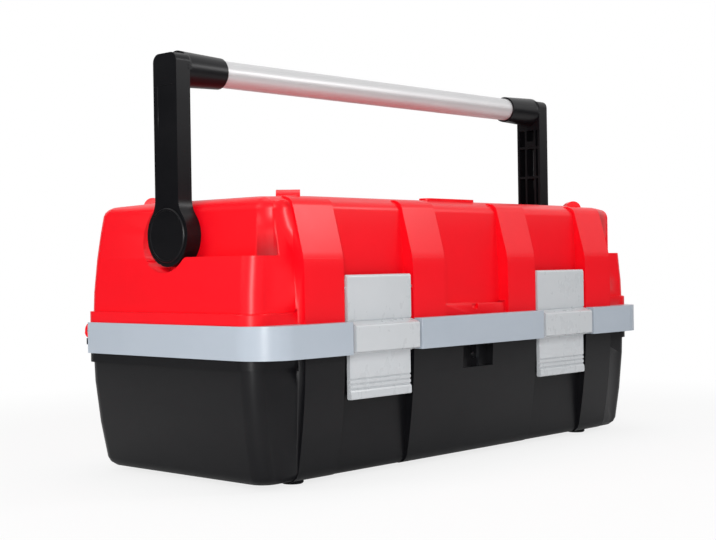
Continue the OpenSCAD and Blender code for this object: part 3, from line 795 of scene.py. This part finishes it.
@dataclass(frozen=True)
class Lamp:
    """A soft box that faces a point on the object."""

    name: str
    place: tuple[float, float, float]
    aim: tuple[float, float, float]
    size: tuple[float, float]
    power: float

    def build(self) -> None:
        """Adds the lamp to the scene."""
        data = bpy.data.lights.new(self.name, "AREA")
        data.shape = "RECTANGLE"
        data.size, data.size_y = self.size
        data.energy = self.power
        lamp = bpy.data.objects.new(self.name, data)
        lamp.location = self.place
        lamp.rotation_mode = "QUATERNION"
        lamp.rotation_quaternion = (Vector(self.aim) - Vector(self.place)).to_track_quat("-Z", "Y")
        bpy.context.scene.collection.objects.link(lamp)


@dataclass(frozen=True)
class Flag:
    """A dark card that only reflections see, as a photographer hangs beside a glossy object."""

    name: str
    place: tuple[float, float, float]
    size: tuple[float, float]
    turn: float
    tone: float = 0.01

    def build(self) -> None:
        """Stands the card up on edge, turned about the vertical."""
        upright = (math.pi / 2, 0.0, self.turn)
        bpy.ops.object.select_all(action="DESELECT")
        bpy.ops.mesh.primitive_plane_add(size=1.0, location=self.place, rotation=upright)
        card = bpy.context.object
        card.name = self.name
        card.scale = (*self.size, 1.0)
        card.visible_camera = False
        card.visible_diffuse = False
        card.visible_transmission = False
        card.visible_shadow = False
        paint = Paint(self.name)
        paint.fix(Roughness=1.0, Specular_IOR_Level=0.0)
        paint.shader.inputs["Base Color"].default_value = (self.tone, self.tone, self.tone, 1.0)
        card.data.materials.append(paint.material)


@dataclass
class Studio:
    """Pale floor and backdrop, soft lamps and the camera at the photograph's angle."""

    eye: tuple[float, float, float] = (-1.054053, -0.94479, 0.194246)
    yaw: float = 0.82127
    pitch: float = -0.003831
    roll: float = -0.015552
    focal_px: float = 1330.155
    image: tuple[int, int] = (716, 540)
    centre_px: tuple[float, float] = (358.82, 269.96)
    sensor: float = 36.0
    far_clip: float = 60.0
    surround: float = 0.34
    floor_radius: float = 12.0
    floor_sides: int = 96
    floor_drop: float = 0.0002
    floor_tone: float = 0.9
    floor_roughness: float = 0.9
    floor_glow: float = 0.8
    floor_fade: tuple[float, float] = (0.45, 0.95)
    lamps: tuple[Lamp, ...] = field(
        default=(
            Lamp("front_right", (0.75, -0.95, 0.85), (0.0, -0.1, 0.24), (0.3, 0.14), 3.4),
            Lamp("front_left", (-1.5, -1.25, 0.5), (-0.1, 0.0, 0.2), (0.4, 0.8), 20.0),
            Lamp("left", (-2.2, 0.9, 1.3), (-0.1, 0.0, 0.15), (1.0, 1.0), 15.0),
            Lamp("top", (0.0, 0.1, 2.2), (0.0, 0.0, 0.2), (1.4, 1.4), 15.0),
        )
    )
    flags: tuple[Flag, ...] = field(
        default=(
            Flag("flag_rear_left", (-1.25, 1.1, 0.75), (2.4, 1.8), math.radians(40.0)),
            Flag("flag_front_right", (1.3, -1.15, 0.15), (2.2, 0.7), math.radians(48.0)),
        )
    )

    def build(self) -> None:
        """Builds the camera, the lamps, the flags, the world and the floor."""
        self._camera()
        for lamp in self.lamps:
            lamp.build()
        for flag in self.flags:
            flag.build()
        self._world()
        self._floor()
        bpy.context.scene.view_settings.view_transform = "Standard"

    def _camera(self) -> None:
        """Adds the camera."""
        ahead = Vector(
            (
                math.sin(self.yaw) * math.cos(self.pitch),
                math.cos(self.yaw) * math.cos(self.pitch),
                math.sin(self.pitch),
            )
        )
        right = Vector((math.cos(self.yaw), -math.sin(self.yaw), 0.0))
        up = right.cross(ahead)
        side = math.cos(self.roll) * right + math.sin(self.roll) * up
        top = math.cos(self.roll) * up - math.sin(self.roll) * right
        data = bpy.data.cameras.new("camera")
        data.sensor_width = self.sensor
        data.lens = self.focal_px * self.sensor / self.image[0]
        data.shift_x = (self.image[0] / 2 - self.centre_px[0]) / self.image[0]
        data.shift_y = (self.centre_px[1] - self.image[1] / 2) / self.image[0]
        data.clip_end = self.far_clip
        camera = bpy.data.objects.new("camera", data)
        turn = Matrix((side, top, -ahead)).transposed().to_4x4()
        camera.matrix_world = Matrix.Translation(self.eye) @ turn
        bpy.context.scene.collection.objects.link(camera)
        bpy.context.scene.camera = camera

    def _world(self) -> None:
        """Makes a white surround that is softer as light than it looks."""
        world = bpy.data.worlds.new("surround")
        bpy.context.scene.world = world
        world.use_nodes = True
        tree = world.node_tree
        tree.nodes.clear()
        path = tree.nodes.new("ShaderNodeLightPath")
        mirrored = tree.nodes.new("ShaderNodeMath")
        mirrored.operation = "MAXIMUM"
        tree.links.new(path.outputs["Is Glossy Ray"], mirrored.inputs[0])
        tree.links.new(path.outputs["Is Transmission Ray"], mirrored.inputs[1])
        seen = tree.nodes.new("ShaderNodeMath")
        seen.operation = "MAXIMUM"
        tree.links.new(path.outputs["Is Camera Ray"], seen.inputs[0])
        tree.links.new(mirrored.outputs[0], seen.inputs[1])
        soft = tree.nodes.new("ShaderNodeBackground")
        soft.inputs["Color"].default_value = WHITE
        soft.inputs["Strength"].default_value = self.surround
        white = tree.nodes.new("ShaderNodeBackground")
        white.inputs["Color"].default_value = WHITE
        white.inputs["Strength"].default_value = 1.0
        mixed = tree.nodes.new("ShaderNodeMixShader")
        tree.links.new(seen.outputs[0], mixed.inputs[0])
        tree.links.new(soft.outputs[0], mixed.inputs[1])
        tree.links.new(white.outputs[0], mixed.inputs[2])
        output = tree.nodes.new("ShaderNodeOutputWorld")
        tree.links.new(mixed.outputs[0], output.inputs[0])

    def _floor(self) -> None:
        """Lays a round white floor that keeps a soft shadow."""
        bpy.ops.object.select_all(action="DESELECT")
        bpy.ops.mesh.primitive_circle_add(
            vertices=self.floor_sides,
            radius=self.floor_radius,
            fill_type="NGON",
            location=(0.0, 0.0, -self.floor_drop),
        )
        floor = bpy.context.object
        floor.name = "floor"
        paint = Paint("floor_white")
        tone = self.floor_tone
        paint.shader.inputs["Base Color"].default_value = (tone, tone, tone, 1.0)
        paint.fix(Roughness=self.floor_roughness)
        glow = paint.tree.nodes.new("ShaderNodeEmission")
        glow.inputs["Strength"].default_value = 1.0
        path = paint.tree.nodes.new("ShaderNodeLightPath")
        seen = Value(paint, path.outputs["Is Camera Ray"])
        away = paint.node(
            "ShaderNodeVectorMath", {"operation": "LENGTH"}, {0: paint.place()}, output="Value"
        )
        share = seen * (away.step(*self.floor_fade) * (1.0 - self.floor_glow) + self.floor_glow)
        mixed = paint.tree.nodes.new("ShaderNodeMixShader")
        paint.tree.links.new(share.socket, mixed.inputs[0])
        paint.tree.links.new(paint.shader.outputs[0], mixed.inputs[1])
        paint.tree.links.new(glow.outputs[0], mixed.inputs[2])
        paint.tree.links.new(mixed.outputs[0], paint.output.inputs["Surface"])
        floor.data.materials.append(paint.material)


# ------------------------------------------------------------------ the tool box


def main() -> None:
    """Loads the frame, builds the tool box's pieces and sets up the studio."""
    logging.basicConfig(level=logging.INFO, format="%(name)s: %(message)s")
    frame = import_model()
    finishes = Finishes()
    for kind in (Tub, Lid, Latches, Handle, Trays, Linkage):
        LOG.info("%s", kind.__name__)
        kind(frame, finishes).build()
    Studio().build()


if __name__ == "__main__":
    main()
